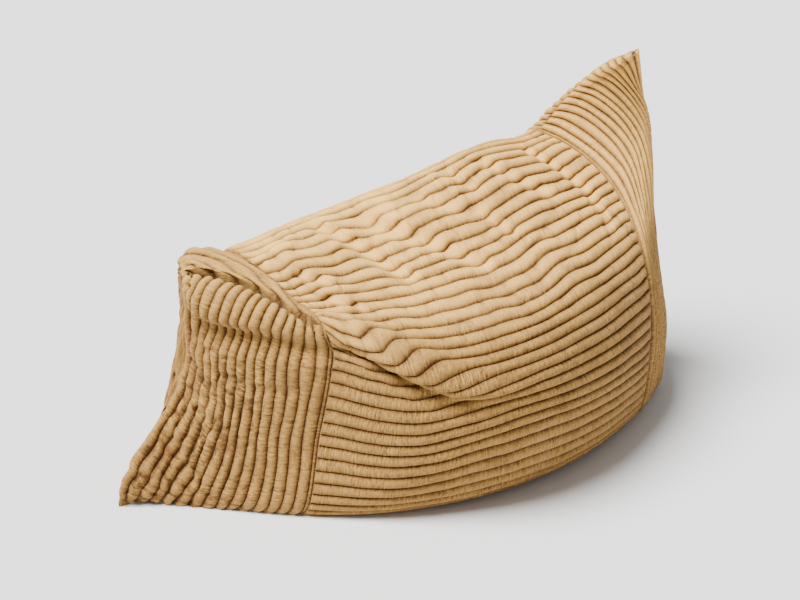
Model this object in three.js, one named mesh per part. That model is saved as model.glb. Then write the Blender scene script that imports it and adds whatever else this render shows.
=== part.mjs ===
import * as THREE from 'three';
import { mergeVertices } from 'three/addons/utils/BufferGeometryUtils.js';

// All sizes in millimetres. The bag lies along X with its left end at -X, its front faces -Y, Z is up.
// A point of the cover is found from two numbers. "t" runs along the bag: 0 at the left closing seam,
// 1 and 3 at the two seams round the girth, 4 at the right closing seam. "g" runs round the girth and
// counts cords of the middle panel: 0 under the bag, 36 at the seam along the top, 72 under it again.

const GIRTH_CORDS = 72;
const TOP_SEAM = 36;
const BAND_CORDS = 15;
const CORD_PITCH = 22;
const CORD_DEPTH = 7;
const CORD_SIDE_DEPTH = 1.2;
const GROOVE_SHARE = 1 / 6;
const FLAP_CORD_SHARE = 0.7;
const SEAM_DEPTH = 5;
const PANEL_GAP = 0.3;
const FLOOR_FADE = 30;
const SEAM_FADE = 0.03;
const BAND_SEAM_FADE = 0.8;

// The middle of the bag's outer box in the table below, taken off so the part stands on the origin.
const CENTRE_X = 4.4;
const CENTRE_Y = -41.3;

// A row for each section along the bag, first its front and top: how far back (Y) and how high (Z) the
// floor edge, the belly, the lip, the seat and the top seam lie, with X of each before them.
const FRONT_NAMES = ['t', 'xFoot', 'xBelly', 'xLip', 'xSeat', 'xRidge', 'footY', 'footZ', 'bellyY', 'bellyZ',
  'lipY', 'lipZ', 'seatY', 'seatZ', 'ridgeY', 'ridgeZ'];
const FRONT = [
  [0.00, -582, -434, -418, -411, -405, -25, 52, 38, 205, 50, 366, 72, 402, 100, 406],
  [0.33, -492, -406, -372, -354, -380, -72, 0, -65, 165, -42, 358, 40, 402, 118, 412],
  [0.67, -392, -348, -316, -288, -342, -140, 0, -142, 150, -128, 348, -10, 392, 130, 410],
  [1.00, -299, -266, -238, -259, -300, -200, 0, -207, 150, -202, 330, -60, 380, 135, 402],
  [1.50, -152, -134, -125, -128, -135, -258, 0, -322, 150, -292, 316, -78, 388, 150, 430],
  [2.00, 42, 46, 45, 49, 50, -280, 0, -384, 195, -342, 330, -100, 405, 140, 471],
  [2.50, 248, 252, 250, 252, 235, -240, 0, -332, 185, -284, 340, -62, 440, 148, 512],
  [3.00, 448, 442, 452, 455, 392, -142, 0, -206, 165, -156, 338, -4, 460, 168, 509],
  [3.33, 510, 510, 497, 520, 442, -93, 0, -140, 160, -100, 340, 22, 506, 140, 576],
  [3.67, 566, 572, 560, 562, 488, -42, 0, -38, 155, -4, 345, 50, 545, 96, 641],
  [4.00, 576, 592, 598, 588, 534, 4, 36, 74, 150, 92, 330, 84, 530, 34, 702],
];
// The back of the same sections: shoulder, middle of the back, low back and rear floor edge. At the two
// closing seams the back lies on the front, so those rows are not needed.
const BACK_NAMES = ['t', 'xShoulder', 'shoulderY', 'shoulderZ', 'xBack', 'backY', 'backZ', 'xLow', 'lowY', 'lowZ',
  'footY'];
const BACK = [
  [0.33, -378, 138, 330, -388, 132, 180, -440, 106, 70, 70],
  [0.67, -345, 178, 320, -352, 192, 170, -372, 165, 65, 125],
  [1.00, -300, 205, 310, -300, 235, 170, -295, 215, 60, 165],
  [1.50, -136, 232, 335, -137, 280, 190, -139, 262, 70, 205],
  [2.00, 52, 235, 375, 54, 300, 215, 52, 285, 80, 225],
  [2.50, 240, 228, 400, 252, 278, 225, 260, 262, 80, 205],
  [3.00, 400, 232, 395, 425, 245, 230, 450, 225, 85, 160],
  [3.33, 452, 196, 440, 492, 212, 250, 516, 182, 90, 110],
  [3.67, 512, 146, 500, 552, 160, 270, 566, 130, 95, 62],
];
// Where those places lie round the girth, in cords.
const FRONT_G = [0, 4.5, 12.5, 20, 28, 36];
const BACK_G = [42, 49, 55, 60, 66];
// How far behind the front floor edge the lower seam and the middle of the underside lie, as shares.
const LOWER_SEAM_SHARE = 0.3;
const UNDERSIDE_SHARE = 0.65;
const CORNER_LEAN = 0.15;

// The roll along the lip: the cloth is drawn in below the line g, stands out above it and sags over it.
const LIP_NAMES = ['t', 'g', 'drawnIn', 'standsOut', 'sag', 'rollHalf'];
const LIP_ROLL = [
  [0.00, 19.4, 10, 10, 6, 4.8],
  [0.15, 19.5, 18, 18, 14, 4.8],
  [0.30, 19.8, 20, 18, 18, 4.4],
  [0.50, 20.2, 20, 17, 20, 3.4],
  [0.75, 20.4, 16, 15, 12, 2.3],
  [1.00, 20.8, 14, 13, 8, 2.2],
  [1.20, 20.5, 20, 14, 22, 2.2],
  [1.35, 20.0, 22, 14, 24, 2.5],
  [1.50, 19.2, 22, 14, 24, 2.6],
  [1.70, 17.5, 17, 10, 18, 2.6],
  [1.90, 16.2, 8, 5, 8, 2.6],
  [2.15, 15.4, 0, 0, 0, 2.6],
];
const DRAWN_IN_BELOW = 1.2;
const DRAWN_IN_HALF = 1.7;
const ROLL_MIDDLE = 0.7;
const SAG_ABOVE = 0.6;
const SAG_HALF = 2.0;
// Folds are shallower where they cross the left seam, which holds the cloth.
const SEAM_FOLD_SHARE = 0.4;
const SEAM_FOLD_FADE = 0.15;

// The pushed-in corner of the left end: a slot between the rolled rim and the flap beside the seam.
const SLOT_NAMES = ['t', 'g', 'half', 'depth', 'flapOver'];
const SLOT = [
  [0.00, 30.0, 2.4, 0, 3],
  [0.15, 29.6, 2.4, 16, 5],
  [0.30, 29.0, 2.2, 60, 8],
  [0.50, 26.2, 1.9, 64, 10],
  [0.70, 23.6, 1.7, 56, 10],
  [0.86, 22.8, 1.5, 30, 4],
  [1.00, 21.2, 1.2, 0, 0],
];
const FLAP_EDGE_AFTER = 1.3;
const FLAP_EDGE_HALF = 1.1;

// The crease behind the flap, where the back of the band tucks in.
const BACK_CREASE_G = 39;
const BACK_CREASE_HALF = 1.6;
const BACK_CREASE_DEPTH = 14;
const BACK_CREASE_FADE = 0.25;

// The filling rounds each end band out close to its closing seam.
const END_PUFF = 34;
const END_FADE = 0.12;

// Broad swellings of the filling: t, g, reach along t, reach along g, height.
const LUMP_NAMES = ['t', 'g', 'reachT', 'reachG', 'height'];
const LUMPS = [
  [3.30, 39.5, 1.05, 5.5, 34],
  [1.30, 29.0, 0.30, 5.0, 7],
  [1.72, 31.5, 0.22, 4.5, -9],
  [1.95, 28.0, 0.20, 4.0, 8],
  [2.30, 32.0, 0.25, 3.5, -7],
  [2.65, 30.0, 0.22, 4.0, 6],
  [1.60, 42.0, 0.35, 5.0, -8],
  [2.40, 45.0, 0.40, 5.0, 8],
];

// Places along the bag where the mesh has a ring of points.
const MIDDLE_T = [1.012, 1.1, 1.25, 1.42, 1.6, 1.78, 1.95, 2.12, 2.3, 2.5, 2.72, 2.9, 2.988];
const CORD_STEPS = 3;
// Where the left band's rings have a point at every half cord, for its lip, slot and flap.
const FINE_FROM_G = 15;
const FINE_TO_G = 32;

const pick = (names, row, name) => row[names.indexOf(name)];
const bell = (x) => (Math.abs(x) < 1 ? (1 - x * x) ** 2 : 0);
const smooth = (x) => {
  const u = Math.min(1, Math.max(0, x));
  return u * u * (3 - 2 * u);
};

// Slopes at the knots for a smooth curve through the values.
function slopes(knots, values) {
  const last = knots.length - 1;
  const rise = [];
  for (let i = 0; i < last; i += 1) rise.push((values[i + 1] - values[i]) / (knots[i + 1] - knots[i]));
  const slope = new Array(last + 1);
  for (let i = 1; i < last; i += 1) {
    const before = knots[i] - knots[i - 1];
    const after = knots[i + 1] - knots[i];
    slope[i] = (rise[i - 1] * after + rise[i] * before) / (before + after);
  }
  slope[0] = 1.5 * rise[0] - 0.5 * slope[1];
  slope[last] = 1.5 * rise[last - 1] - 0.5 * slope[last - 1];
  return slope;
}

// The value at x of the smooth curve through the knots.
function curveAt(knots, values, slope, x) {
  let i = 0;
  while (i < knots.length - 2 && x >= knots[i + 1]) i += 1;
  const h = knots[i + 1] - knots[i];
  const u = (x - knots[i]) / h;
  const u2 = u * u;
  const u3 = u2 * u;
  return values[i] * (2 * u3 - 3 * u2 + 1) + slope[i] * h * (u3 - 2 * u2 + u)
    + values[i + 1] * (3 * u2 - 2 * u3) + slope[i + 1] * h * (u3 - u2);
}

// A table column as a function of t, straight between its rows and held at its ends.
function tableAt(names, rows, name, t) {
  const column = rows.map((row) => pick(names, row, name));
  const knots = rows.map((row) => row[0]);
  if (t <= knots[0]) return column[0];
  for (let i = 1; i < knots.length; i += 1) {
    if (t <= knots[i]) {
      const share = (t - knots[i - 1]) / (knots[i] - knots[i - 1]);
      return column[i - 1] + (column[i] - column[i - 1]) * share;
    }
  }
  return column[column.length - 1];
}

// The points of one section in the order of FRONT_G and then BACK_G.
function sectionPoints(row) {
  const v = (name) => pick(FRONT_NAMES, row, name);
  const backRow = BACK.find((r) => r[0] === row[0]);
  const b = (name) => pick(BACK_NAMES, backRow, name);
  const between = (share) => v('footY') + (backRow ? b('footY') - v('footY') : 0) * share;
  const cornerX = v('xFoot') + Math.sign(v('xFoot')) * CORNER_LEAN * v('footZ');
  const front = [
    [cornerX, between(LOWER_SEAM_SHARE), 0],
    [v('xFoot'), v('footY'), v('footZ')],
    [v('xBelly'), v('bellyY'), v('bellyZ')],
    [v('xLip'), v('lipY'), v('lipZ')],
    [v('xSeat'), v('seatY'), v('seatZ')],
    [v('xRidge'), v('ridgeY'), v('ridgeZ')],
  ];
  if (backRow) {
    return [...front,
      [b('xShoulder'), b('shoulderY'), b('shoulderZ')],
      [b('xBack'), b('backY'), b('backZ')],
      [b('xLow'), b('lowY'), b('lowZ')],
      [v('xFoot'), b('footY'), 0],
      [v('xFoot'), between(UNDERSIDE_SHARE), 0],
    ];
  }
  const mirrored = BACK_G.map((g) => [0, 1, 2].map((axis) => {
    const values = front.map((p) => p[axis]);
    return curveAt(FRONT_G, values, slopes(FRONT_G, values), GIRTH_CORDS - g);
  }));
  return [...front, ...mirrored];
}

const stations = FRONT.map((row) => row[0]);
const sectionNets = FRONT.map(sectionPoints);
// The knots are repeated past both ends, so the curve round the girth closes smoothly.
const gKnots = [...FRONT_G, ...BACK_G];
const ringOrder = [9, 10, 0, 1, 2, 3, 4, 5, 6, 7, 8, 9, 10, 0, 1];
const ringKnots = [...BACK_G.slice(-2).map((g) => g - GIRTH_CORDS), ...gKnots,
  ...FRONT_G.slice(0, 2).map((g) => g + GIRTH_CORDS)];

// For one g, the three coordinates at every section with their slopes along the bag.
const columnCache = new Map();
function columnAt(g) {
  const turn = ((g % GIRTH_CORDS) + GIRTH_CORDS) % GIRTH_CORDS;
  const key = turn.toFixed(6);
  if (!columnCache.has(key)) {
    const axes = [0, 1, 2].map((axis) => {
      const values = sectionNets.map((net) => {
        const ring = ringOrder.map((k) => net[k][axis]);
        return curveAt(ringKnots, ring, slopes(ringKnots, ring), turn);
      });
      return { values, slope: slopes(stations, values) };
    });
    columnCache.set(key, axes);
  }
  return columnCache.get(key);
}

function basePoint(t, g) {
  const [x, y, z] = columnAt(g).map((axis) => curveAt(stations, axis.values, axis.slope, t));
  return new THREE.Vector3(x, y, z);
}

// Unit vectors at a point: away from the filling, and round the girth in the direction of g.
function frameAt(t, g) {
  const step = 0.01;
  const t0 = Math.max(0, t - step);
  const t1 = Math.min(4, t + step);
  const along = basePoint(t1, g).sub(basePoint(t0, g));
  const round = basePoint(t, g + step * 10).sub(basePoint(t, g - step * 10)).normalize();
  const out = new THREE.Vector3().crossVectors(along, round).normalize();
  return { out, round };
}

// How deep the cloth lies below the crowns of the cords; 0 on a crown, 1 in the groove between two.
function cordProfile(phase) {
  const u = phase - Math.floor(phase);
  const near = Math.min(u, 1 - u);
  return near < GROOVE_SHARE ? CORD_DEPTH : CORD_SIDE_DEPTH;
}

function middleCords(t, g) {
  const nearSeam = Math.min(t - 1, 3 - t) / SEAM_FADE;
  return cordProfile(g) * smooth(nearSeam) + SEAM_DEPTH * (1 - smooth(nearSeam));
}

// In an end band the cords run round the girth. On the flap they run beside the seam at their own width.
function bandCords(t, g, point) {
  const across = t < 2 ? (1 - t) * BAND_CORDS : (t - 3) * BAND_CORDS;
  const round = (phase) => CORD_DEPTH * (1 - Math.sin(Math.PI * (phase - Math.floor(phase))));
  let depth = round(across);
  if (t < 1 && g < BACK_CREASE_G) {
    const seam = basePoint(1, g);
    const beside = Math.hypot(point.x - seam.x, point.y - seam.y) / CORD_PITCH;
    const onFlap = smooth(g - tableAt(SLOT_NAMES, SLOT, 'g', t));
    depth += (FLAP_CORD_SHARE * round(beside) - depth) * onFlap;
  }
  const seamFade = smooth(across / BAND_SEAM_FADE);
  const endFade = smooth((BAND_CORDS - across) / BAND_SEAM_FADE);
  const topSeamFade = t > 2 ? smooth(Math.abs(g - TOP_SEAM) / BAND_SEAM_FADE) : 1;
  const fade = Math.min(seamFade, endFade, topSeamFade);
  return depth * fade + SEAM_DEPTH * (1 - fade) * (across > 1 ? smooth(BAND_CORDS - across) : 1);
}

// A point of the finished cover.
function coverPoint(t, g) {
  const point = basePoint(t, g);
  const closing = t < 1e-6 || t > 4 - 1e-6;
  if (!closing) {
    const { out, round } = frameAt(t, g);
    const lip = (name) => tableAt(LIP_NAMES, LIP_ROLL, name, t);
    const slot = (name) => tableAt(SLOT_NAMES, SLOT, name, t);
    const off = g - lip('g');
    const endFade = smooth(Math.min(t, 4 - t) / END_FADE);
    const fromSeam = smooth(Math.abs(t - 1) / SEAM_FOLD_FADE);
    const folded = SEAM_FOLD_SHARE + (1 - SEAM_FOLD_SHARE) * fromSeam;
    let lift = endFade * lip('standsOut') * bell(off / lip('rollHalf') - ROLL_MIDDLE)
      - endFade * folded * lip('drawnIn') * bell((off + DRAWN_IN_BELOW) / DRAWN_IN_HALF);
    for (const row of LUMPS) {
      const v = (name) => pick(LUMP_NAMES, row, name);
      lift += v('height') * bell((t - v('t')) / v('reachT')) * bell((g - v('g')) / v('reachG'));
    }
    let slide = -folded * lip('sag') * bell((off - SAG_ABOVE) / SAG_HALF);
    let drop = 0;
    if (t < 1) {
      const offSlot = (g - slot('g')) / slot('half');
      drop = slot('depth') * bell(offSlot) * endFade * fromSeam;
      slide -= slot('flapOver') * bell((offSlot - FLAP_EDGE_AFTER) / FLAP_EDGE_HALF) * fromSeam;
      lift -= BACK_CREASE_DEPTH * bell((g - BACK_CREASE_G) / BACK_CREASE_HALF)
        * smooth(Math.min(t, 1 - t) / BACK_CREASE_FADE);
    }
    if (t < 1 || t > 3) {
      const fromEnd = t < 1 ? t : 4 - t;
      lift += END_PUFF * Math.sqrt(fromEnd) * (1 - fromEnd) ** 2;
    }
    const pressed = smooth(point.z / FLOOR_FADE);
    const cords = (t >= 1 && t <= 3) ? middleCords(t, g) : bandCords(t, g, point);
    point.addScaledVector(out, (lift - cords) * pressed);
    point.addScaledVector(round, slide * pressed * endFade);
    point.z -= drop;
  }
  point.z = Math.max(0, point.z);
  point.x -= CENTRE_X;
  point.y -= CENTRE_Y;
  return point;
}

// The seam rings are common to a band and the middle panel, apart by the gap between the pieces.
function ringPlaces(extra) {
  const places = [];
  for (let g = 0; g < GIRTH_CORDS; g += 1) {
    places.push(g);
    if (extra && g >= FINE_FROM_G && g < FINE_TO_G) places.push(g + 0.5);
  }
  return places;
}
const SEAM_RING = { left: ringPlaces(true), right: ringPlaces(false) };

// Collects triangles of one closed piece.
class Piece {
  constructor(name, colour) {
    this.name = name;
    this.colour = colour;
    this.corners = [];
  }

  triangle(a, b, c) {
    const same = (p, q) => p.distanceToSquared(q) < 1e-8;
    if (same(a, b) || same(b, c) || same(a, c)) return;
    for (const p of [a, b, c]) this.corners.push(p.x, p.y, p.z);
  }

  // Joins two closed rings of points, the first on the left, whatever the number of points in each.
  zip(left, right) {
    const nL = left.points.length;
    const nR = right.points.length;
    const at = (ring, i) => ring.points[i % ring.points.length];
    const place = (ring, i) => ring.places[i % ring.places.length] + (i >= ring.places.length ? GIRTH_CORDS : 0);
    let i = 0;
    let j = 0;
    while (i < nL || j < nR) {
      const goLeft = j >= nR || (i < nL && place(left, i + 1) <= place(right, j + 1));
      if (goLeft) {
        this.triangle(at(left, i), at(right, j), at(left, i + 1));
        i += 1;
      } else {
        this.triangle(at(left, i), at(right, j), at(right, j + 1));
        j += 1;
      }
    }
  }

  // Closes a seam ring with a fan from a point in its middle.
  cap(ring, faceLeft) {
    const middle = new THREE.Vector3();
    for (const p of ring.points) middle.addScaledVector(p, 1 / ring.points.length);
    ring.points.forEach((p, i) => {
      const next = ring.points[(i + 1) % ring.points.length];
      if (faceLeft) this.triangle(p, next, middle);
      else this.triangle(next, p, middle);
    });
  }

  mesh() {
    const raw = new THREE.BufferGeometry();
    raw.setAttribute('position', new THREE.Float32BufferAttribute(this.corners, 3));
    const geometry = mergeVertices(raw, 1e-4);
    geometry.computeVertexNormals();
    const material = new THREE.MeshStandardMaterial({ color: this.colour, roughness: 0.95, metalness: 0 });
    const mesh = new THREE.Mesh(geometry, material);
    mesh.name = this.name;
    return mesh;
  }
}

// A ring of cover points at one t, moved along X by the given amount.
function ringAt(t, places, moveX = 0) {
  const points = places.map((g) => coverPoint(t, g));
  for (const p of points) p.x += moveX;
  return { points, places };
}

// The closing seam joins front and back, so the ring there is one line walked up and back down.
function closingRing(t, ring) {
  const mirrored = ring.map((g) => (g > 0 ? GIRTH_CORDS - g : 0));
  const places = [...new Set([...ring, ...mirrored])].sort((a, b) => a - b);
  const points = places.map((g) => coverPoint(t, Math.min(g, GIRTH_CORDS - g)));
  return { points, places };
}

function middlePanel() {
  const piece = new Piece('middle', 0xba976e);
  const fine = [];
  for (let k = 0; k < GIRTH_CORDS * CORD_STEPS; k += 1) fine.push(k / CORD_STEPS);
  const left = ringAt(1, SEAM_RING.left, PANEL_GAP / 2);
  const right = ringAt(3, SEAM_RING.right, -PANEL_GAP / 2);
  piece.cap(left, true);
  let before = left;
  for (const t of MIDDLE_T) {
    const ring = ringAt(t, fine);
    piece.zip(before, ring);
    before = ring;
  }
  piece.zip(before, right);
  piece.cap(right, false);
  return piece.mesh();
}

function endBand(name, isLeft) {
  const piece = new Piece(name, 0xb8946b);
  const places = isLeft ? SEAM_RING.left : SEAM_RING.right;
  const seam = ringAt(isLeft ? 1 : 3, places, isLeft ? -PANEL_GAP / 2 : PANEL_GAP / 2);
  const rings = [seam];
  for (let k = 1; k < BAND_CORDS * 2; k += 1) {
    const away = k / (BAND_CORDS * 2);
    rings.push(ringAt(isLeft ? 1 - away : 3 + away, places));
  }
  rings.push(closingRing(isLeft ? 0 : 4, places));
  piece.cap(seam, !isLeft);
  for (let k = 1; k < rings.length; k += 1) {
    if (isLeft) piece.zip(rings[k], rings[k - 1]);
    else piece.zip(rings[k - 1], rings[k]);
  }
  return piece.mesh();
}

const chair = new THREE.Group();
chair.name = 'bean_bag_chair';
chair.add(endBand('left_end', true));
chair.add(middlePanel());
chair.add(endBand('right_end', false));

export default chair;
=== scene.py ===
# %% [markdown]
# # A bean bag chair in broad-corded plush
# The real chair is one long pillow of plush cloth, loosely filled and stood on its long edge. The cloth has
# fat soft cords: along the bag on its middle panel, and round it on the two end bands. One upper corner is
# pushed in to make an arm rest, the other stands up as a point to lean on. Everything here is worked out
# from two numbers: t runs along the bag, and g runs round it, counted in cords.

import bpy
import numpy as np
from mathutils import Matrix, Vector


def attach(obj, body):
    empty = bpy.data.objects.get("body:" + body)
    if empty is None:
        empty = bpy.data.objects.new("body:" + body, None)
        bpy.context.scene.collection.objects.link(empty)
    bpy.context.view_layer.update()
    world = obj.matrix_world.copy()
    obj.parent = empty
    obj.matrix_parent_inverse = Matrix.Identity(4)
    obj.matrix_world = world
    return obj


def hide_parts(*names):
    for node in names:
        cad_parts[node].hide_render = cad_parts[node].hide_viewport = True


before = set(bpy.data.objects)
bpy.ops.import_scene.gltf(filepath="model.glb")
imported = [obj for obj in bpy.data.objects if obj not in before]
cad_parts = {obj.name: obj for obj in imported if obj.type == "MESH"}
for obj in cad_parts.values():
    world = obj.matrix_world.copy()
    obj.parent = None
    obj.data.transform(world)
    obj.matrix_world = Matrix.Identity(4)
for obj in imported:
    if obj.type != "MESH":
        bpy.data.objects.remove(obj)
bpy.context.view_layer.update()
print("solids in the frame:", sorted(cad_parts))

# %% [markdown]
# ## The sections of the bag
# A sewn and filled bag could be sculpted by hand, or swelled by simulation from flat panels. Here it is
# lofted through eleven measured sections, because its outline is known well and a lofted surface keeps two
# natural directions, along and round, which the cords, seams and folds can follow. Each row gives a section
# in millimetres: X along the bag, Y from front to back, Z up. t is 0 at the left closing seam, 1 and 3 at
# the two seams round the girth, and 4 at the right closing seam. g is 0 at the lower seam and 36 at the top.

# %% Section tables
FRONT_NAMES = ["t", "x_foot", "x_belly", "x_lip", "x_seat", "x_ridge", "foot_y", "foot_z",
               "belly_y", "belly_z", "lip_y", "lip_z", "seat_y", "seat_z", "ridge_y", "ridge_z"]
FRONT = np.array([
    [0.00, -582, -434, -418, -411, -405, -25, 52, 38, 205, 50, 366, 72, 402, 100, 406],
    [0.33, -492, -406, -376, -340, -380, -72, 0, -65, 165, -42, 358, 40, 402, 118, 412],
    [0.67, -392, -348, -320, -274, -342, -140, 0, -142, 150, -128, 348, -10, 392, 130, 410],
    [1.00, -299, -266, -238, -259, -300, -200, 0, -207, 150, -202, 330, -60, 380, 135, 402],
    [1.50, -152, -134, -125, -128, -135, -258, 0, -322, 150, -292, 316, -78, 388, 150, 430],
    [2.00, 42, 46, 45, 49, 50, -280, 0, -384, 195, -342, 330, -100, 405, 140, 471],
    [2.50, 248, 252, 250, 252, 235, -240, 0, -332, 185, -284, 340, -62, 440, 148, 512],
    [3.00, 448, 442, 452, 455, 392, -142, 0, -206, 165, -156, 338, -4, 460, 168, 509],
    [3.33, 510, 510, 497, 520, 442, -93, 0, -140, 160, -100, 340, 22, 506, 140, 576],
    [3.67, 566, 572, 560, 562, 488, -42, 0, -38, 155, -4, 345, 50, 545, 96, 641],
    [4.00, 576, 592, 598, 588, 534, 4, 36, 74, 150, 92, 330, 84, 530, 34, 702],
])
BACK_NAMES = ["t", "x_shoulder", "shoulder_y", "shoulder_z", "x_back", "back_y", "back_z",
              "x_low", "low_y", "low_z", "foot_y"]
BACK = np.array([
    [0.33, -378, 138, 330, -388, 132, 180, -440, 106, 70, 70],
    [0.67, -345, 178, 320, -352, 192, 170, -372, 165, 65, 125],
    [1.00, -300, 205, 310, -300, 235, 170, -295, 215, 60, 165],
    [1.50, -136, 232, 335, -137, 280, 190, -139, 262, 70, 205],
    [2.00, 52, 235, 375, 54, 300, 215, 52, 285, 80, 225],
    [2.50, 240, 228, 400, 252, 278, 225, 260, 262, 80, 205],
    [3.00, 400, 232, 395, 425, 245, 230, 450, 225, 85, 160],
    [3.33, 452, 196, 440, 492, 212, 250, 516, 182, 90, 110],
    [3.67, 512, 146, 500, 552, 160, 270, 566, 130, 95, 62],
])
GIRTH_CORDS = 72
TOP_SEAM = 36
FRONT_G = np.array([0, 4.5, 12.5, 20, 28, TOP_SEAM])
BACK_G = np.array([42, 49, 55, 60, 66.0])
LOWER_SEAM_SHARE = 0.3
UNDERSIDE_SHARE = 0.65
CORNER_LEAN = 0.15
CENTRE = np.array([4.4, -41.3, 0.0])
print("sections:", len(FRONT), "with", len(FRONT_G) + len(BACK_G), "places round each")

# %% [markdown]
# ## A smooth surface through the sections
# A subdivision surface would shrink away from the measured places. A cubic curve that passes through every
# place keeps them: between two knots it is a blend of their values and slopes, and a knot's slope is the
# weighted mean of the rises on both sides. Doing this round the girth and then along the bag gives a patch
# for any pair of numbers, worked out for whole arrays at once.


# %% Curve helpers
def beside(flat, values):
    """A flat array with enough axes of length one behind it to multiply the values row by row."""
    return flat.reshape(-1, *([1] * (values.ndim - 1)))


def slopes(knots, values):
    """Slope at each knot: the rises on its two sides, each weighted by the other side's length. At both ends
    it lets the curve run out without bending."""
    length = beside(np.diff(knots), values)
    rise = np.diff(values, axis=0) / length
    out = np.empty_like(values)
    out[1:-1] = (rise[:-1] * length[1:] + rise[1:] * length[:-1]) / (length[1:] + length[:-1])
    out[0] = 1.5 * rise[0] - 0.5 * out[1]
    out[-1] = 1.5 * rise[-1] - 0.5 * out[-2]
    return out


def blend_weights(u, length):
    """Weights of first value, first slope, second value and second slope at a share u of an interval."""
    first = 2 * u**3 - 3 * u**2 + 1
    first_slope = (u**3 - 2 * u**2 + u) * length
    second = 3 * u**2 - 2 * u**3
    second_slope = (u**3 - u**2) * length
    return first, first_slope, second, second_slope


def interval(knots, x):
    """The interval each x lies in, as the place of its first knot, and its length."""
    i = np.clip(np.searchsorted(knots, x, side="right") - 1, 0, len(knots) - 2)
    return i, knots[i + 1] - knots[i]


def curve(knots, values, x):
    """The smooth curve through the knots, at each x."""
    slope = slopes(knots, values)
    i, length = interval(knots, x)
    w = [beside(part, values) for part in blend_weights((x - knots[i]) / length, length)]
    return values[i] * w[0] + slope[i] * w[1] + values[i + 1] * w[2] + slope[i + 1] * w[3]


print("halfway between 0 and 1 the weights are:", blend_weights(0.5, 1.0))

# %% [markdown]
# ## The net and its patch
# Eleven places are set round each section, from the two tables. A NURBS surface could hold the same net, but
# it runs beside its places, not through them. Two places of the far side are carried on past each end of the
# count round the girth, so the slopes agree where the ring closes at the lower seam.


# %% Net and patch
def section_net():
    """Places round each section, as sections by places by X, Y, Z. Where the back table has no row, at the
    closing seams, the back lies on the front."""
    net = []
    for row in FRONT:
        v = dict(zip(FRONT_NAMES, row))
        rear = [dict(zip(BACK_NAMES, back_row)) for back_row in BACK if back_row[0] == row[0]]
        depth = rear[0]["foot_y"] - v["foot_y"] if rear else 0.0
        corner_x = v["x_foot"] + np.sign(v["x_foot"]) * CORNER_LEAN * v["foot_z"]
        front = np.array([
            [corner_x, v["foot_y"] + depth * LOWER_SEAM_SHARE, 0],
            [v["x_foot"], v["foot_y"], v["foot_z"]],
            [v["x_belly"], v["belly_y"], v["belly_z"]],
            [v["x_lip"], v["lip_y"], v["lip_z"]],
            [v["x_seat"], v["seat_y"], v["seat_z"]],
            [v["x_ridge"], v["ridge_y"], v["ridge_z"]],
        ])
        back = curve(FRONT_G, front, GIRTH_CORDS - BACK_G)
        for b in rear:
            back = np.array([
                [b["x_shoulder"], b["shoulder_y"], b["shoulder_z"]],
                [b["x_back"], b["back_y"], b["back_z"]],
                [b["x_low"], b["low_y"], b["low_z"]],
                [v["x_foot"], b["foot_y"], 0],
                [v["x_foot"], v["foot_y"] + depth * UNDERSIDE_SHARE, 0],
            ])
        net.append(np.concatenate([front, back]))
    return np.array(net)


STATIONS = FRONT[:, 0]
RING_ORDER = [9, 10, 0, 1, 2, 3, 4, 5, 6, 7, 8, 9, 10, 0, 1]
RING_KNOTS = np.concatenate([BACK_G[-2:] - GIRTH_CORDS, FRONT_G, BACK_G, FRONT_G[:2] + GIRTH_CORDS])
NET = section_net()[:, RING_ORDER]
NET_T = slopes(STATIONS, NET)
NET_G = np.moveaxis(slopes(RING_KNOTS, np.moveaxis(NET, 1, 0)), 0, 1)
NET_TG = slopes(STATIONS, NET_G)


def base(t, g):
    """Point of the plain filled bag: the values and slopes at the four corners of its cell of the net, each
    times its weight along the bag and its weight round the bag, added up."""
    t, g = np.broadcast_arrays(np.asarray(t, float), np.mod(np.asarray(g, float), GIRTH_CORDS))
    i, len_t = interval(STATIONS, t)
    j, len_g = interval(RING_KNOTS, g)
    along = blend_weights((t - STATIONS[i]) / len_t, len_t)
    around = blend_weights((g - RING_KNOTS[j]) / len_g, len_g)
    nets = ((NET, NET_G), (NET_T, NET_TG))
    out = 0
    for a in range(4):
        for b in range(4):
            corner = nets[a % 2][b % 2][i + a // 2, j + b // 2]
            out = out + (along[a] * around[b])[..., None] * corner
    return out


sample = base(np.array([1.0, 2.0, 3.0]), np.array([20.0, 20.0, 20.0]))
print("lip at both seams and the middle, mm:", np.round(sample, 0).tolist())

# %% [markdown]
# ## Soft steps and noise
# Cloth has no hard edges, so every fold below starts and ends through one of two soft shapes: a bump that
# dies out at its reach, and an eased step between two places. Noise gives the small unevenness of loose
# filling. Blender's own noise textures could give it too, but here the heights are wanted as plain numbers,
# and a seeded generator gives the same ones at every run.

# %% Soft shapes
NOISE_CELLS = 64


def bell(x):
    """A soft bump: 1 at 0, falling to 0 at -1 and 1."""
    return np.where(np.abs(x) < 1, (1 - np.clip(x, -1, 1) ** 2) ** 2, 0.0)


def smooth(x):
    """An eased step from 0 to 1."""
    u = np.clip(x, 0, 1)
    return u * u * (3 - 2 * u)


def step(x, start, full):
    """An eased step that is 0 at start and 1 at full; start may be the greater, for a step that falls."""
    return smooth((x - start) / (full - start))


def unit(v):
    """Vectors scaled to length one."""
    return v / np.maximum(np.linalg.norm(v, axis=-1, keepdims=True), 1e-9)


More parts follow.
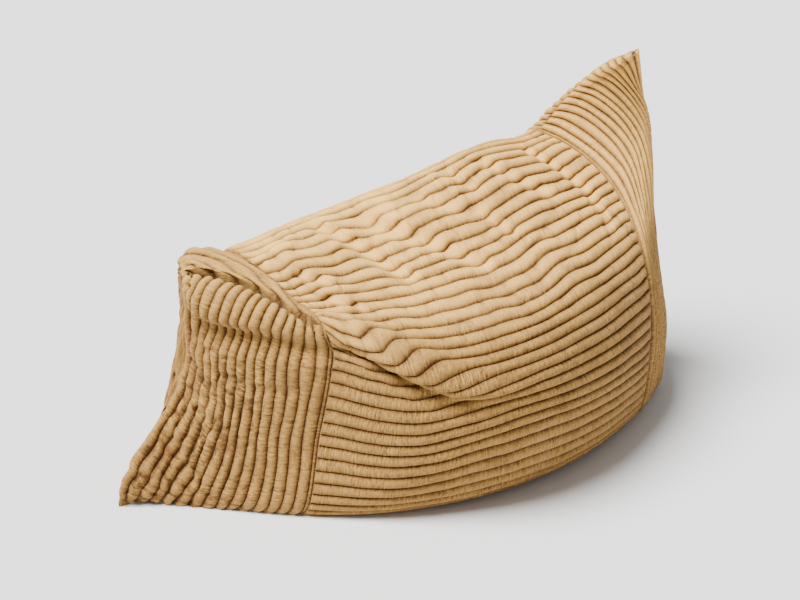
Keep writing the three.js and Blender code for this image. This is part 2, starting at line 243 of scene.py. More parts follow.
def noise(seed, a, b):
    """Soft random hills between -1 and 1: random heights at whole numbers of a and b, eased in between."""
    heights = np.random.default_rng(seed).uniform(-1, 1, (NOISE_CELLS, NOISE_CELLS))
    a, b = np.broadcast_arrays(a, b)
    i, j = np.floor(a).astype(int), np.floor(b).astype(int)
    u, v = smooth(a - i), smooth(b - j)
    i, j = i % NOISE_CELLS, j % NOISE_CELLS
    next_i, next_j = (i + 1) % NOISE_CELLS, (j + 1) % NOISE_CELLS
    near = heights[i, j] * (1 - u) + heights[next_i, j] * u
    far = heights[i, next_j] * (1 - u) + heights[next_i, next_j] * u
    return near * (1 - v) + far * v


def rough(t, g, seed, per_t, cords, height):
    """Noise over the bag: so many random heights to a unit of t, and one to so many cords round it."""
    return height * noise(seed, t * per_t, g / cords)


print("bump at 0, 0.5 and 1:", bell(np.array([0, 0.5, 1.0])).tolist())

# %% [markdown]
# ## The rolled lip, the slot and the swellings
# The photograph shows the cloth sagging over itself below the lip, a rolled rim round the pushed-in corner
# with a dark slot behind it, and a shoulder where the filling swells. They could be carved with a brush.
# Here each is a row of a table: where it lies and how far it lifts, sinks or slides the cloth. Rows are easy
# to read, and two folds that meet simply add. Widths round the bag are in cords, all else in millimetres.

# %% Roll, slot and swelling tables
LIP_NAMES = ["t", "g", "drawn_in", "stands_out", "sag", "roll_half"]
LIP_ROLL = np.array([
    [0.00, 19.0, 10, 10, 6, 3.8],
    [0.15, 19.2, 18, 18, 14, 3.6],
    [0.30, 19.6, 20, 20, 18, 3.2],
    [0.50, 20.1, 20, 19, 18, 2.8],
    [0.75, 20.4, 16, 16, 12, 2.3],
    [1.00, 20.9, 14, 13, 8, 2.2],
    [1.09, 22.0, 20, 15, 34, 2.2],
    [1.20, 21.8, 23, 17, 46, 2.3],
    [1.35, 20.8, 23, 17, 42, 2.5],
    [1.50, 19.5, 22, 15, 32, 2.6],
    [1.70, 17.5, 17, 10, 18, 2.6],
    [1.90, 16.2, 8, 5, 8, 2.6],
    [2.15, 15.4, 0, 0, 0, 2.6],
])
SLOT_NAMES = ["t", "g", "half", "depth", "flap_over"]
SLOT = np.array([
    [0.00, 26.2, 1.6, 0, 3],
    [0.15, 25.6, 1.5, 22, 12],
    [0.30, 25.0, 1.3, 54, 26],
    [0.50, 24.4, 1.2, 58, 30],
    [0.70, 23.8, 1.1, 50, 30],
    [0.86, 23.2, 1.0, 34, 24],
    [0.95, 22.6, 1.0, 14, 12],
    [1.00, 22.0, 1.2, 0, 0],
])
SWELLING_NAMES = ["t", "g", "reach_t", "reach_g", "height"]
SWELLINGS = np.array([
    [3.30, 39.5, 1.05, 5.5, 34],
    [1.30, 29.0, 0.30, 5.0, 7],
    [1.72, 31.5, 0.22, 4.5, -9],
    [1.95, 28.0, 0.20, 4.0, 8],
    [2.30, 32.0, 0.25, 3.5, -7],
    [2.65, 30.0, 0.22, 4.0, 6],
    [1.60, 42.0, 0.35, 5.0, -8],
    [2.40, 45.0, 0.40, 5.0, 8],
])
print("rows of the roll:", len(LIP_ROLL), "of the slot:", len(SLOT), "of the swellings:", len(SWELLINGS))

# %% Roll, slot and swellings
RIDGE_ABOVE = 0.7
TROUGH_BELOW, TROUGH_HALF = 1.2, 1.7
SAG_ABOVE, SAG_HALF = 0.6, 2.0
FLAP_AT, FLAP_REACH = 2.0, 2.1
FLAP_EDGE_LIFT, FLAP_EDGE_AT, FLAP_EDGE_REACH = 15.0, 2.3, 1.9
BACK_CREASE_G, BACK_CREASE_HALF, BACK_CREASE_DEPTH, BACK_CREASE_FADE = 39, 1.6, 14, 0.25


def column(names, rows, name, t):
    """A column of a table as a function of t, straight between rows and held at its ends."""
    return np.interp(t, rows[:, 0], rows[:, names.index(name)])


def lip_roll(t, g):
    """Lift and slide of the lip: a ridge stands out above a trough that is drawn in, and the cloth between
    them slides down over the trough."""
    off = g - column(LIP_NAMES, LIP_ROLL, "g", t)
    half = column(LIP_NAMES, LIP_ROLL, "roll_half", t)
    ridge = column(LIP_NAMES, LIP_ROLL, "stands_out", t) * bell(off / half - RIDGE_ABOVE)
    trough = column(LIP_NAMES, LIP_ROLL, "drawn_in", t) * bell((off + TROUGH_BELOW) / TROUGH_HALF)
    sag = column(LIP_NAMES, LIP_ROLL, "sag", t) * bell((off - SAG_ABOVE) / SAG_HALF)
    return ridge - trough, -sag


def from_slot(t, g):
    """Place across the slot, in its own half-widths: 0 in its middle, 1 at the flap's foot."""
    return (g - column(SLOT_NAMES, SLOT, "g", t)) / column(SLOT_NAMES, SLOT, "half", t)


def slot_and_flap(t, g):
    """Lift, slide and drop of the left band's slot: its floor drops, and the flap behind it slides over it
    and stands out at its edge."""
    left = np.where(t < 1, 1.0, 0.0)
    off = from_slot(t, g)
    edge = FLAP_EDGE_LIFT * bell((off - FLAP_EDGE_AT) / FLAP_EDGE_REACH)
    over = column(SLOT_NAMES, SLOT, "flap_over", t) * bell((off - FLAP_AT) / FLAP_REACH)
    drop = column(SLOT_NAMES, SLOT, "depth", t) * bell(off)
    return edge * left, -over * left, drop * left


def back_crease(t, g):
    """Depth of the crease that tucks the left band in behind the flap."""
    tuck = smooth(np.minimum(t, 1 - t) / BACK_CREASE_FADE)
    return np.where(t < 1, BACK_CREASE_DEPTH * bell((g - BACK_CREASE_G) / BACK_CREASE_HALF) * tuck, 0)


def swelling(t, g):
    """Height of all swellings of the filling, each a bump of its own reach along and round the bag."""
    total = 0.0
    for row in SWELLINGS:
        s = dict(zip(SWELLING_NAMES, row))
        total = total + s["height"] * bell((t - s["t"]) / s["reach_t"]) * bell((g - s["g"]) / s["reach_g"])
    return total


print("slot's depth at t 0.5, mm:", float(slot_and_flap(np.array(0.5), np.array(24.4))[2]))

# %% [markdown]
# ## Hand-deep creases
# A loose bag keeps the dents of whoever sat on it last. Each row is one crease, from its first end at t0, g0
# to its second at t1, g1. Its two sides have half-widths of their own in millimetres, because a real crease
# is steep on one side, where cloth lies over cloth. A ridge is a crease of negative depth. They could be
# sculpted, but as rows each one can be set against the photograph and moved by itself.

# %% Creases
CREASE_NAMES = ["t0", "g0", "t1", "g1", "depth", "near_half", "far_half"]
CREASES = np.array([
    [1.74, 33.6, 1.98, 29.8, 14, 34, 16],
    [1.98, 29.8, 2.18, 26.6, 11, 30, 14],
    [1.50, 34.4, 1.66, 31.2, 12, 30, 16],
    [1.66, 31.2, 1.80, 27.4, 11, 30, 14],
    [2.29, 30.9, 2.37, 27.7, 9, 16, 14],
    [2.02, 33.6, 2.29, 30.1, 7, 22, 14],
    [2.18, 35.1, 2.26, 31.8, -5, 16, 16],
    [2.27, 34.6, 2.35, 31.8, 7, 18, 12],
    [2.44, 34.1, 2.66, 29.0, 9, 20, 14],
    [2.76, 34.0, 2.85, 29.0, 10, 22, 13],
    [2.85, 29.0, 2.84, 24.4, 7, 20, 13],
    [1.06, 31.8, 1.36, 33.1, -8, 24, 24],
    [1.21, 30.2, 1.36, 28.2, 8, 22, 14],
    [1.25, 26.9, 1.45, 25.4, 7, 14, 14],
    [1.20, 24.3, 1.36, 23.8, 5, 12, 12],
    [0.28, 15.4, 0.50, 15.3, 5, 12, 10],
    [0.50, 15.4, 0.84, 16.0, 5, 14, 10],
    [0.05, 12.0, 0.30, 13.4, 5, 12, 12],
    [0.02, 9.4, 0.20, 8.7, 8, 18, 12],
    [0.18, 8.8, 0.36, 7.4, 7, 18, 12],
    [0.13, 12.2, 0.32, 11.5, 5, 12, 12],
    [0.02, 16.6, 0.22, 16.2, 6, 14, 12],
    [0.02, 21.6, 0.10, 21.9, 7, 14, 12],
])
MM_PER_T, MM_PER_G = 380.0, 22.0
CREASE_EASE = 0.3


def crease_lift(t, g):
    """Height of all creases, below zero in a trough: along each line a bump across, eased at both ends."""
    total = 0.0
    for row in CREASES:
        c = dict(zip(CREASE_NAMES, row))
        run_t, run_g = (c["t1"] - c["t0"]) * MM_PER_T, (c["g1"] - c["g0"]) * MM_PER_G
        from_t, from_g = (t - c["t0"]) * MM_PER_T, (g - c["g0"]) * MM_PER_G
        length = np.hypot(run_t, run_g)
        along = (from_t * run_t + from_g * run_g) / length**2
        across = (from_g * run_t - from_t * run_g) / length
        ends = smooth(along / CREASE_EASE + 0.5) * smooth((1 - along) / CREASE_EASE + 0.5)
        half = np.where(across > 0, c["far_half"], c["near_half"])
        total = total - c["depth"] * bell(across / half) * ends
    return total


print("creases:", len(CREASES))

# %% [markdown]
# ## The folded bag
# All the folds move the plain surface together: out along its normal, round the girth, and straight down in
# the slot. A stack of displace modifiers could do it, but each would bend what the one before had made. They
# fade out at the closing seams, which stay where they are sewn, and at the floor, where the bag's weight
# presses the cloth flat.

# %% The folded bag
END_PUFF, END_FADE, FLOOR_FADE = 34, 0.12, 30
NORMAL_STEP_T, NORMAL_STEP_G = 0.01, 0.1
HILLS = {"seed": 11, "per_t": 6, "cords": 3.5, "height": 2.2}
RIPPLES = {"seed": 12, "per_t": 9, "cords": 2.2, "height": 1.2}
SEAT_FRONT_EDGE, SEAT_BACK_EDGE, SEAT_LEFT_EDGE = (16, 24), (58, 50), (0.95, 1.05)


def seat_share(t, g):
    """1 on the loosely filled seat and shoulder of the middle panel, falling to 0 on its taut front."""
    return step(g, *SEAT_FRONT_EDGE) * step(g, *SEAT_BACK_EDGE) * step(t, *SEAT_LEFT_EDGE)


def folded(t, g):
    """Point of the bag with its folds, and how free of the floor it is, from 0 to 1. Lift moves the base
    point along its normal, slide round the girth, drop straight down."""
    point = base(t, g)
    before, after = np.maximum(t - NORMAL_STEP_T, 0), np.minimum(t + NORMAL_STEP_T, 4)
    around = unit(base(t, g + NORMAL_STEP_G) - base(t, g - NORMAL_STEP_G))
    out = unit(np.cross(base(after, g) - base(before, g), around))
    fade = smooth(np.minimum(t, 4 - t) / END_FADE)
    free = smooth(point[..., 2] / FLOOR_FADE)
    lip_lift, lip_slide = lip_roll(t, g)
    flap_lift, flap_slide, drop = slot_and_flap(t, g)
    from_end = np.clip(np.minimum(t, 4 - t), 0, 1)
    puff = END_PUFF * np.sqrt(from_end) * (1 - from_end) ** 2
    uneven = rough(t, g, **HILLS) * seat_share(t, g) + rough(t, g, **RIPPLES)
    lift = fade * (lip_lift + crease_lift(t, g) + flap_lift + uneven)
    lift = lift + swelling(t, g) - back_crease(t, g) + puff
    point = point + out * (lift * free)[..., None]
    point = point + around * ((lip_slide + flap_slide) * free * fade)[..., None]
    point[..., 2] -= drop * fade
    return point, free


print("lip with its roll at t 1.5, mm:", np.round(folded(np.array([1.5]), np.array([20.5]))[0], 0).tolist())

# %% [markdown]
# ## Cords
# A cord of this plush is a fat soft rib with a round crown and a narrow groove beside it. A bump texture
# alone would leave the outline and the folds smooth, so the cords are real relief. The grid has several
# lines to each cord, close together at the groove, and sinks them below the crown along the normal.

# %% Cord relief
CORD_DEPTH = 9.5
CORD_PITCH = 22.0
CROWN_ROUNDNESS = 2.1
PINCH_SHARPNESS = 5
SEAM_DEPTH, SEAM_ROLL = 7.5, 14.0
BAND_CORDS = 15


def cord_depth(phase):
    """Share of the groove's depth: 0 on the crown, 1 in the groove, like the side of a full ellipse."""
    s = np.abs(2 * (phase - np.floor(phase)) - 1)
    return 1 - np.sqrt(np.maximum(1 - s**CROWN_ROUNDNESS, 0))


def seam_dip(distance):
    """How far a cord's crown has rolled down at this distance from a seam, as a quarter of an ellipse."""
    u = np.clip(1 - distance / SEAM_ROLL, 0, 1)
    return SEAM_DEPTH * (1 - np.sqrt(1 - u**2))


def pinches(seed, along_mm, cord, spacing):
    """Share of a pinch, where a cord is nipped across: 1 on thin lines where soft noise passes zero."""
    return (1 - np.abs(noise(seed, along_mm / spacing, cord))) ** PINCH_SHARPNESS


def grid_normals(point):
    """Outward normals of a closed ring of grid lines, from the differences of neighbours."""
    along = np.gradient(point, axis=0)
    ring = np.concatenate([point[:, -1:], point, point[:, :1]], axis=1)
    return unit(np.cross(along, (ring[:, 2:] - ring[:, :-2]) / 2))


def sunk(point, sink):
    """The grid with each point sunk inward by its own depth, and held above the floor."""
    point = point - grid_normals(point) * sink[..., None]
    point[..., 2] = np.maximum(point[..., 2], 0)
    return point


print("cords round the middle:", GIRTH_CORDS, "across each band:", BAND_CORDS)

# %% [markdown]
# ## Making a mesh from a grid
# Each piece is a tube of quads round the bag. Its open end at a girth seam is closed with a shallow fan of
# triangles behind the seam, and at a closing seam front and back are welded, so every piece is one closed
# skin. Curves could be lofted by hand too, but in a grid every corner's number is known from its row and
# column. The cloth's own directions are kept as a UV map, and as two attributes for the plush to read: the
# height on the cord, with the slot's painted shade, and a pale share of brushed and creased pile and of
# painted light on the tops.


# %% Corners of the grid
def corner_lists(point, closed_end):
    """Corners of every face, the number of corners of each face, and the middle points of the end fans. A
    closed end's points take the number of their mirror image, so its front and back share them."""
    rows, cols = point.shape[:2]
    index = np.arange(rows * cols).reshape(rows, cols)
    if closed_end is not None:
        mirror = (cols - np.arange(cols)) % cols
        index[closed_end] = np.minimum(index[closed_end], index[closed_end][mirror])
    right = np.roll(index, -1, axis=1)
    corners = [np.stack([index[:-1], index[1:], right[1:], right[:-1]], axis=-1).reshape(-1)]
    sizes = [np.full((rows - 1) * cols, 4)]
    middles = []
    for row, inner in ((0, 1), (rows - 1, rows - 2)):
        if row == closed_end:
            continue
        middle = np.full(cols, rows * cols + len(middles))
        fan = np.stack([index[row], right[row], middle], axis=-1)
        corners.append((fan if row == 0 else fan[:, ::-1]).reshape(-1))
        sizes.append(np.full(cols, 3))
        middles.append(point[inner].mean(axis=0))
    return np.concatenate(corners), np.concatenate(sizes), np.array(middles)


def corner_uvs(cloth_u, cloth_v, corner_count):
    """The cloth's place at every quad's corners; the end fans behind the seams, out of sight, get zero."""
    grid = np.stack([cloth_u, cloth_v], axis=-1)
    quads = np.stack([grid[:-1, :-1], grid[1:, :-1], grid[1:, 1:], grid[:-1, 1:]], axis=-2).reshape(-1, 2)
    return np.concatenate([quads, np.zeros((corner_count - len(quads), 2))])


# %% Grid to mesh
CLOTH_UNIT = 100.0


def skin(name, point, cloth_u, cloth_v, crown_and_shade, pale_and_painted_light, closed_end=None):
    """A closed skin from a grid of points; cloth_u and cloth_v give the cloth's own place in millimetres
    across and along its cords, with one more column than the points."""
    corners, sizes, middles = corner_lists(point, closed_end)
    uvs = corner_uvs(cloth_u, cloth_v, len(corners))
    verts = np.concatenate([point.reshape(-1, 3), middles])
    marks = np.stack([crown_and_shade.reshape(-1), pale_and_painted_light.reshape(-1)])
    marks = np.concatenate([marks, np.zeros((2, len(middles)))], axis=1)
    used, corners = np.unique(corners, return_inverse=True)
    verts, marks = verts[used], marks[:, used]
    mesh = bpy.data.meshes.new(name)
    mesh.vertices.add(len(verts))
    mesh.vertices.foreach_set("co", ((verts - CENTRE) / 1000.0).astype(np.float32).ravel())
    mesh.loops.add(len(corners))
    mesh.loops.foreach_set("vertex_index", corners.astype(np.int32))
    mesh.polygons.add(len(sizes))
    mesh.polygons.foreach_set("loop_start", (np.cumsum(sizes) - sizes).astype(np.int32))
    mesh.polygons.foreach_set("loop_total", sizes.astype(np.int32))
    mesh.polygons.foreach_set("use_smooth", np.ones(len(sizes), dtype=bool))
    layer = mesh.uv_layers.new(name="cloth")
    layer.data.foreach_set("uv", (uvs / CLOTH_UNIT).astype(np.float32).ravel())
    mesh.update()
    mesh.validate()
    for label, values in zip(("crown_and_shade", "pale_and_painted_light"), marks):
        tag = mesh.attributes.new(label, "FLOAT", "POINT")
        tag.data.foreach_set("value", values.astype(np.float32))
    obj = bpy.data.objects.new(name, mesh)
    bpy.context.scene.collection.objects.link(obj)
    print(name, "triangles:", int((sizes - 2).sum()), "size mm:", np.round(np.ptp(verts, axis=0), 0).tolist())
    return obj


# %% [markdown]
# ## The middle panel
# Cords run along the bag, so the grid's lines round the girth are counted in cords: ten to each cord of the
# front, six to each cord of the back. The lines along the bag are closer at the two seams, where every cord
# rolls down into the seam. Seventy pipes laid side by side would look stiff; relief in one skin bends with
# the cloth. On the loose seat the cords wander and are nipped here and there, and on its upper left the
# pile lies brushed flat, so the grooves are shallow and the cloth is painted pale, partly for the brushed
# pile and partly as painted light. The seat is painted lighter than the front as painted light from above,
# and it is painted paler along its creases.

# %% How the middle's cords lie
FRONT_PHASES = np.array([0, 0.04, 0.11, 0.22, 0.36, 0.5, 0.64, 0.78, 0.89, 0.96])
BACK_PHASES = np.array([0, 0.09, 0.26, 0.5, 0.74, 0.91])
SHARED_SEED, SHARED_PER_T, SHARED_CORDS, SHARED_SLANT = 21, 6.5, 6, 0.12
OWN_SEED, OWN_PER_T, OWN_SHARE = 22, 11, 0.35
FRONT_WANDER, SEAT_WANDER = 0.07, 0.17
# The brushed patch flattens the grooves; its paler colour is partly worn pile and partly painted light on the
# seat's upper left.
BRUSHED_LEVEL = 0.62
BRUSHED_PATCHES = {"seed": 41, "per_t": 9, "cords": 1.8, "height": 0.38}
BRUSHED_FRONT_EDGE, BRUSHED_BACK_EDGE = (29.5, 34), (56, 50)
BRUSHED_RIGHT_EDGE, BRUSHED_LEFT_EDGE = (2.55, 1.85), (1.0, 1.1)
HELD_SIDE, HELD_FRONT_EDGE, HELD_BACK_EDGE = 0.06, (3, 7), (66, 62)


def cord_wander(t, cord):
    """How far a cord strays round the girth, in cords: waves shared by neighbours and a little of its own,
    dying out at both girth seams and at the lower seam."""
    shared = noise(SHARED_SEED, t * SHARED_PER_T + cord * SHARED_SLANT, cord / SHARED_CORDS)
    own = noise(OWN_SEED, t * OWN_PER_T, cord + 0.5)
    held = smooth(np.minimum(t - 1, 3 - t) / HELD_SIDE)
    held = held * step(cord, *HELD_FRONT_EDGE) * step(cord, *HELD_BACK_EDGE)
    return (FRONT_WANDER + SEAT_WANDER * seat_share(t, cord)) * held * (shared + OWN_SHARE * own)


def brushed(t, g):
    """Share by which the pile lies brushed flat: most on the upper left of the seat, none on the front."""
    patch = step(g, *BRUSHED_FRONT_EDGE) * step(g, *BRUSHED_BACK_EDGE)
    patch = patch * step(t, *BRUSHED_RIGHT_EDGE) * step(t, *BRUSHED_LEFT_EDGE)
    return patch * (BRUSHED_LEVEL + rough(t, g, **BRUSHED_PATCHES))


print("grid lines round the middle:", TOP_SEAM * (len(FRONT_PHASES) + len(BACK_PHASES)))

# %% Middle panel
MIDDLE_ROWS = 170
ROW_CROWDING = 0.08
NIP_SEED, NIP_SPACING, FRONT_NIP, SEAT_NIP = 23, 34.0, 0.6, 2.0
GROOVE_START = 5.0
BRUSHED_LOSS = 0.55
BENT_FULL = 9
BRUSHED_PALE_AND_PAINTED_LIGHT, PALE_BENT, PAINTED_LIGHT_SEAT, PAINTED_LIGHT_SEAT_EDGE = 0.3, 0.35, 0.65, (17, 27)


def middle_panel():
    """The tube between the two girth seams with its cords along it."""
    share = np.linspace(0, 1, MIDDLE_ROWS)
    share = share - ROW_CROWDING * np.sin(2 * np.pi * share)
    front = (np.arange(TOP_SEAM)[:, None] + FRONT_PHASES).ravel()
    back = (np.arange(TOP_SEAM, GIRTH_CORDS)[:, None] + BACK_PHASES).ravel()
    t, cord = np.broadcast_arrays(1 + 2 * share[:, None], np.concatenate([front, back])[None, :])
    point, free = folded(t, cord + cord_wander(t, cord))
    seat = seat_share(t, cord)
    flat = brushed(t, cord)
    from_seam = np.minimum(t - 1, 3 - t) * MM_PER_T
    groove = cord_depth(cord) * smooth(from_seam / GROOVE_START) * CORD_DEPTH * (1 - BRUSHED_LOSS * flat)
    nip = pinches(NIP_SEED, t * MM_PER_T, cord + 0.5, NIP_SPACING) * (FRONT_NIP + SEAT_NIP * seat) * free
    sink = np.maximum(groove + nip, seam_dip(from_seam))
    # The crown share is 1 on the crown and 0 in the groove; the plush uses it to paint shade into the
    # grooves.
    crown_and_shade = 1 - np.clip(sink / CORD_DEPTH, 0, 1)
    bent = np.clip(np.abs(crease_lift(t, cord)) / BENT_FULL, 0, 1) * seat
    # Painted light: the seat is painted paler than the front, its brushed upper left partly for worn pile and
    # partly as painted light, and its creases paler too.
    pale_and_painted_light = BRUSHED_PALE_AND_PAINTED_LIGHT * flat + PALE_BENT * bent + PAINTED_LIGHT_SEAT * seat * step(cord, *PAINTED_LIGHT_SEAT_EDGE)
    girth = np.concatenate([cord, cord[:, :1] + GIRTH_CORDS], axis=1) * CORD_PITCH
    length = np.concatenate([t, t[:, :1]], axis=1) * MM_PER_T
    return skin("middle_panel", sunk(point, sink), girth, length, crown_and_shade, np.clip(pale_and_painted_light, 0, 1))


middle = middle_panel()

# %% [markdown]
# ## The end bands
# Here the cords run round the bag, from the floor up over the rim. A narrow edge rib lies along the girth
# seam, as on the real cover, where the cutting line fell beside a cord. Front and back were cut apart, so
# their cords miss each other by half a cord at the seam along the top. On the flap beside the slot only a
# few broad strips are left to see, running along the seam. Low on the left the cloth is crumpled, and its
# cords are nipped into knuckles. Both bands are made as the middle is, with the close lines of the grid
# across the bag's length instead of round it.

# %% How a band's cords lie
BAND_PHASES = np.array([0, 0.05, 0.12, 0.24, 0.38, 0.45, 0.5, 0.55, 0.62, 0.76, 0.88, 0.95])
EDGE_RIB, EDGE_RIB_LOW, EDGE_RIB_GROOVE = 0.32, 3.5, 4.0
FLAP_RIB, FLAP_RIB_LOW, FLAP_RIB_GROOVE, FLAP_PITCH = 24.0, 2.5, 4.0, 36.0
KNUCKLE_SEED, KNUCKLE_SPACING, PLAIN_KNUCKLE, CRUMPLED_KNUCKLE = 31, 24.0, 1.2, 3.8
SMALL_KNUCKLE_SEED, SMALL_KNUCKLE_SPACING, SMALL_KNUCKLE = 33, 15.0, 4.4
CRUMPLED_RIGHT_EDGE, CRUMPLED_TOP_EDGE = (0.8, 0.35), (19, 14)
GIRTH_SEAM_TIGHTNESS = 3
CLOSING_EASE = 12.0


def in_plan_from_seam(t, g, point):
    """Distance in plan from the girth seam at the same place round the bag, in millimetres."""
    seam = base(np.where(t < 2, 1.0, 3.0), g)
    return np.hypot(point[..., 0] - seam[..., 0], point[..., 1] - seam[..., 1])


def cord_relief(away, behind):
    """Depth of a band's cords, counted in cords away from its girth seam: first the edge rib, then cords."""
    in_rib = away < EDGE_RIB
    phase = np.where(in_rib, away / EDGE_RIB, away - EDGE_RIB + np.where(behind, 0.5, 0.0))
    across = cord_depth(phase)
    return np.where(in_rib, EDGE_RIB_LOW + EDGE_RIB_GROOVE * across, CORD_DEPTH * across)


def strip_relief(beside_seam):
    """Depth of the flap's strips at a distance from the girth seam: first a narrow rib, then broad strips."""
    rib = FLAP_RIB_LOW + FLAP_RIB_GROOVE * cord_depth(beside_seam / FLAP_RIB)
    strips = CORD_DEPTH * cord_depth((beside_seam - FLAP_RIB) / FLAP_PITCH)
    return np.where(beside_seam < FLAP_RIB, rib, strips)


def knuckles(t, g, away):
    """Depth of the nips across a band's cords: shallow everywhere, deep and close in the crumpled corner."""
    crumpled = step(t, *CRUMPLED_RIGHT_EDGE) * step(g, *CRUMPLED_TOP_EDGE) * (t < 1)
    along, cord = g * MM_PER_G, away - EDGE_RIB + 0.5
    large = pinches(KNUCKLE_SEED, along, cord, KNUCKLE_SPACING)
    small = pinches(SMALL_KNUCKLE_SEED, along, cord, SMALL_KNUCKLE_SPACING)
    return large * (PLAIN_KNUCKLE + CRUMPLED_KNUCKLE * crumpled) + small * SMALL_KNUCKLE * crumpled


def band_sink(t, g, point, away):
    """How deep the cloth of a band lies below its crowns: its cords or strips, its knuckles, and its roll
    into the girth seam and the right band's top seam, all dying out at the closing seam."""
    cords = cord_relief(away, g > TOP_SEAM)
    strips = strip_relief(in_plan_from_seam(t, g, point))
    on_flap = (t < 1) * smooth(g - column(SLOT_NAMES, SLOT, "g", t)) * smooth((BACK_CREASE_G - g) * 2)
    depth = cords + (strips - cords) * on_flap + knuckles(t, g, away)
    from_top = np.where(t > 2, np.abs(g - TOP_SEAM) * MM_PER_G, SEAM_ROLL)
    from_girth = away * CORD_PITCH * GIRTH_SEAM_TIGHTNESS
    dip = np.maximum(seam_dip(from_top), seam_dip(from_girth))
    return np.maximum(depth, dip) * smooth((BAND_CORDS - away) * CORD_PITCH / CLOSING_EASE)


print("grid lines across a band:", BAND_CORDS * len(BAND_PHASES))

# %% End bands
ROUND_STEPS = 6
RIB_LINES = 6
SWAY_SEED, SWAY_CORDS, SWAY = 32, 2.5, 0.14
ROLL_LEAN, ROLL_LEAN_G, ROLL_LEAN_REACH = 0.5, 25, 6
PUCKER_SEED, PUCKER, PUCKER_LENGTH = 34, 3.6, 1.15
SMALL_PUCKER_SEED, SMALL_PUCKER, SMALL_PUCKER_LENGTH = 35, 2.0, 0.7
PUCKER_EDGE = (6.5, 1.5)
# SLOT_SHADE is painted shade: how far the cloth in the slot is darkened, where shadow falls in the recess.
SLOT_SHADE, SLOT_SHADE_REACH, SLOT_SHADE_FADE = 0.85, 1.3, 0.12
PAINTED_LIGHT_LEFT, PAINTED_LIGHT_RIGHT, PAINTED_LIGHT_FRONT_EDGE, PAINTED_LIGHT_BACK_EDGE = 0.35, 0.6, (19, 24), (40, 36)


def band_grid(left):
    """Cords away from the girth seam, t and g of every grid point. The cords sway a little, and on the left
    those of the rolled rim lean toward the seam."""
    cords = (np.arange(BAND_CORDS)[:, None] + EDGE_RIB + BAND_PHASES).ravel()
    rib = np.linspace(0, EDGE_RIB, RIB_LINES + 1)[:-1]
    away = np.concatenate([rib, cords[cords < BAND_CORDS - 0.01], [BAND_CORDS]])
    away = away[::-1] if left else away
    g = np.arange(GIRTH_CORDS * ROUND_STEPS)[None, :] / ROUND_STEPS
    away, g = np.broadcast_arrays(away[:, None], g)
    sway = SWAY * noise(SWAY_SEED, g / SWAY_CORDS, away) * smooth(away) * smooth(BAND_CORDS - away)
    share = (away + sway) / BAND_CORDS
    if not left:
        return away, 3 + share, g
    lean = ROLL_LEAN * bell((g - ROLL_LEAN_G) / ROLL_LEAN_REACH) * (1 - share) * share
    return away, 1 - share + lean, g


def pucker(away, seam_g):
    """How far the cloth beside the left closing seam is gathered toward the middle, in millimetres."""
    waves = PUCKER * noise(PUCKER_SEED, seam_g / PUCKER_LENGTH, 0.5)
    small = SMALL_PUCKER * noise(SMALL_PUCKER_SEED, seam_g / SMALL_PUCKER_LENGTH, away / 2)
    return (waves + small) * step(BAND_CORDS - away, *PUCKER_EDGE)


def end_band(name, left):
    """The tube from a girth seam to the welded closing seam with its cords round it."""
    away, t, g = band_grid(left)
    closing = 0 if left else len(away) - 1
    seam_g = np.minimum(g, GIRTH_CORDS - g)
    point, free = folded(t, g)
    point[closing] = base(t[closing], seam_g[closing])
    slot_shade_share = 0.0
    if left:
        point[..., 0] += pucker(away, seam_g) * free
        # Painted shade in the slot, carried into the colour through the crown share.
        slot_shade_share = bell(from_slot(t, g) / SLOT_SHADE_REACH) * smooth(np.minimum(t, 1 - t) / SLOT_SHADE_FADE)
    sink = band_sink(t, g, point, away)
    crown_and_shade = (1 - np.clip(sink / CORD_DEPTH, 0, 1)) * (1 - SLOT_SHADE * slot_shade_share)
    # Painted light: the upward tops of the bands are painted paler.
    pale_and_painted_light = (PAINTED_LIGHT_LEFT if left else PAINTED_LIGHT_RIGHT) * step(g, *PAINTED_LIGHT_FRONT_EDGE) * step(g, *PAINTED_LIGHT_BACK_EDGE)
    across = np.concatenate([away, away[:, :1]], axis=1) * CORD_PITCH
    along = np.concatenate([g, g[:, :1] + GIRTH_CORDS], axis=1) * MM_PER_G
    return skin(name, sunk(point, sink), across, along, crown_and_shade, pale_and_painted_light, closed_end=closing)


left_band = end_band("left_end_band", True)
right_band = end_band("right_end_band", False)

# %% [markdown]
# ## Shader helper
# Node trees written link by link are hard to read. One small class wraps a socket, so shader maths can be
# written as plain expressions, and one method adds any other node.


# %% Shader helper
def feed(tree, slot, value):
    """Link a wrapped socket to a node's slot, or set the slot to a plain value."""
    if isinstance(value, Sock):
        tree.links.new(value.out, slot)
    else:
        slot.default_value = value


class Sock:
    """A value in a node tree; arithmetic on it adds Math nodes."""

    def __init__(self, tree, out):
        self.tree, self.out = tree, out

    def _math(self, operation, first, second):
        node = self.tree.nodes.new("ShaderNodeMath")
        node.operation = operation
        feed(self.tree, node.inputs[0], first)
        feed(self.tree, node.inputs[1], second)
        return Sock(self.tree, node.outputs[0])

    def __add__(self, other):
        return self._math("ADD", self, other)

    __radd__ = __add__

    def __mul__(self, other):
        return self._math("MULTIPLY", self, other)

    __rmul__ = __mul__

    def __sub__(self, other):
        return self._math("SUBTRACT", self, other)

    def __rsub__(self, other):
        return self._math("SUBTRACT", other, self)

    def __pow__(self, power):
        return self._math("POWER", self, power)


